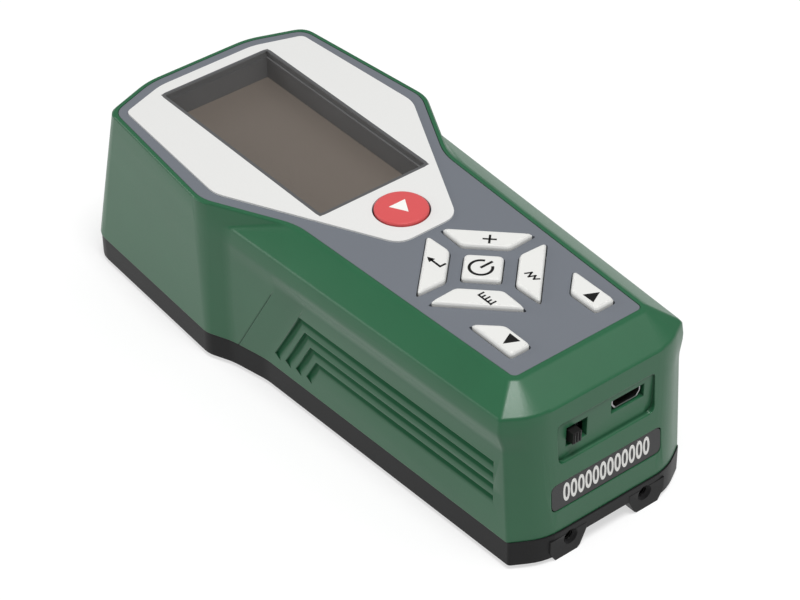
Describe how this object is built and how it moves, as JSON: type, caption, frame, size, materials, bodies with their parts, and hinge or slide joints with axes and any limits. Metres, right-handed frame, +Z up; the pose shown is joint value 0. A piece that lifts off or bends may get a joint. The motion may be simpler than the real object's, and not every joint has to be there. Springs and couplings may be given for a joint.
{
  "type": "surface roughness tester",
  "caption": "Handheld surface roughness tester: waisted case with a deep display window, a keypad, rails underneath and a stylus pickup that slides out of the far end.",
  "frame": {"origin": "middle of the bounding box, on the plane that the two rails rest on", "axes": "+X along the case to the port end, -X to the display and the pickup, +Z up"},
  "size_m": [0.162, 0.0608, 0.0432],
  "materials": {
    "green_case": "fine texture",
    "black_cover": "fine texture",
    "grey_panel": "satin",
    "silver_plate": "satin silver",
    "dark_shroud": "matte",
    "clear_lens": "clear",
    "display_glass": "semi-gloss",
    "light_guide": "satin",
    "circuit_board": "satin",
    "keypad_rubber": "matte",
    "red_key": "satin",
    "white_key": "satin",
    "serial_black": "satin",
    "switch_black": "matte",
    "tin_plate": "plated",
    "battery_film": "film",
    "drive_aluminium": "machined",
    "drive_steel": "ground",
    "coupling_brass": "turned",
    "gearbox_black": "matte",
    "carriage_black": "matte",
    "pickup_steel": "satin",
    "tip_diamond": "polished",
    "screw_steel": "plated"
  },
  "bodies": {
    "case": {"upper_housing": "green_case", "bottom_cover": "black_cover", "face_panel": "grey_panel", "display_plate": "silver_plate", "window_shroud": "dark_shroud", "window_lens": "clear_lens", "lcd_panel": "display_glass", "backlight": "light_guide", "main_board": "circuit_board", "keypad_mat": "keypad_rubber", "serial_plate": "serial_black", "switch_body": "tin_plate", "usb_shell": "tin_plate", "usb_tongue": "switch_black", "battery": "battery_film", "drive_frame": "drive_aluminium", "guide_rod_left": "drive_steel", "guide_rod_right": "drive_steel", "gearbox": "gearbox_black", "drive_motor": "drive_steel", "case_screw_1": "screw_steel", "case_screw_2": "screw_steel", "case_screw_3": "screw_steel", "case_screw_4": "screw_steel", "board_screw_1": "screw_steel", "board_screw_2": "screw_steel", "board_screw_3": "screw_steel", "board_screw_4": "screw_steel", "frame_screw_1": "screw_steel", "frame_screw_2": "screw_steel", "frame_screw_3": "screw_steel", "frame_screw_4": "screw_steel"},
    "start": {"start_button": "red_key"},
    "escape": {"esc_key": "white_key"},
    "parameter": {"parameter_key": "white_key"},
    "unit": {"unit_key": "white_key"},
    "enter": {"enter_key": "white_key"},
    "power": {"power_key": "white_key"},
    "up": {"up_key": "white_key"},
    "down": {"down_key": "white_key"},
    "switch": {"switch_knob": "switch_black"},
    "screw": {"lead_screw": "drive_steel", "shaft_coupling": "coupling_brass"},
    "traverse": {"carriage": "carriage_black", "pickup_tube": "pickup_steel", "skid_nose": "pickup_steel", "stylus_pivot": "drive_steel"},
    "stylus": {"stylus_arm": "drive_steel", "stylus_tip": "tip_diamond"}
  },
  "joints": [
    {"name": "start_press", "type": "slide", "parent": "case", "child": "start", "axis": [0, 0, -1], "range_m": [0, 0.0006], "stiffness_N_per_m": 800},
    {"name": "escape_press", "type": "slide", "parent": "case", "child": "escape", "axis": [0, 0, -1], "range_m": [0, 0.0006], "stiffness_N_per_m": 800},
    {"name": "parameter_press", "type": "slide", "parent": "case", "child": "parameter", "axis": [0, 0, -1], "range_m": [0, 0.0006], "stiffness_N_per_m": 800},
    {"name": "unit_press", "type": "slide", "parent": "case", "child": "unit", "axis": [0, 0, -1], "range_m": [0, 0.0006], "stiffness_N_per_m": 800},
    {"name": "enter_press", "type": "slide", "parent": "case", "child": "enter", "axis": [0, 0, -1], "range_m": [0, 0.0006], "stiffness_N_per_m": 800},
    {"name": "power_press", "type": "slide", "parent": "case", "child": "power", "axis": [0, 0, -1], "range_m": [0, 0.0006], "stiffness_N_per_m": 800},
    {"name": "up_press", "type": "slide", "parent": "case", "child": "up", "axis": [0, 0, -1], "range_m": [0, 0.0006], "stiffness_N_per_m": 800},
    {"name": "down_press", "type": "slide", "parent": "case", "child": "down", "axis": [0, 0, -1], "range_m": [0, 0.0006], "stiffness_N_per_m": 800},
    {"name": "switch_slide", "type": "slide", "parent": "case", "child": "switch", "axis": [0, 1, 0], "range_m": [0, 0.0022]},
    {"name": "pickup_traverse", "type": "slide", "parent": "case", "child": "traverse", "axis": [1, 0, 0], "range_m": [0, 0.0175]},
    {"name": "screw_turn", "type": "hinge", "parent": "case", "child": "screw", "pos_m": [0, 0, 0.021], "axis": [1, 0, 0], "range_deg": [-2, 1802]},
    {"name": "stylus_tilt", "type": "hinge", "parent": "traverse", "child": "stylus", "pos_m": [-0.063, 0, 0.006], "axis": [0, 1, 0], "range_deg": [-0.8, 0.8], "stiffness_Nm_per_rad": 0.02}
  ],
  "couplings": [
    {"joint": "screw_turn", "follows": "pickup_traverse", "rad_per_m": 1795.2}
  ]
}
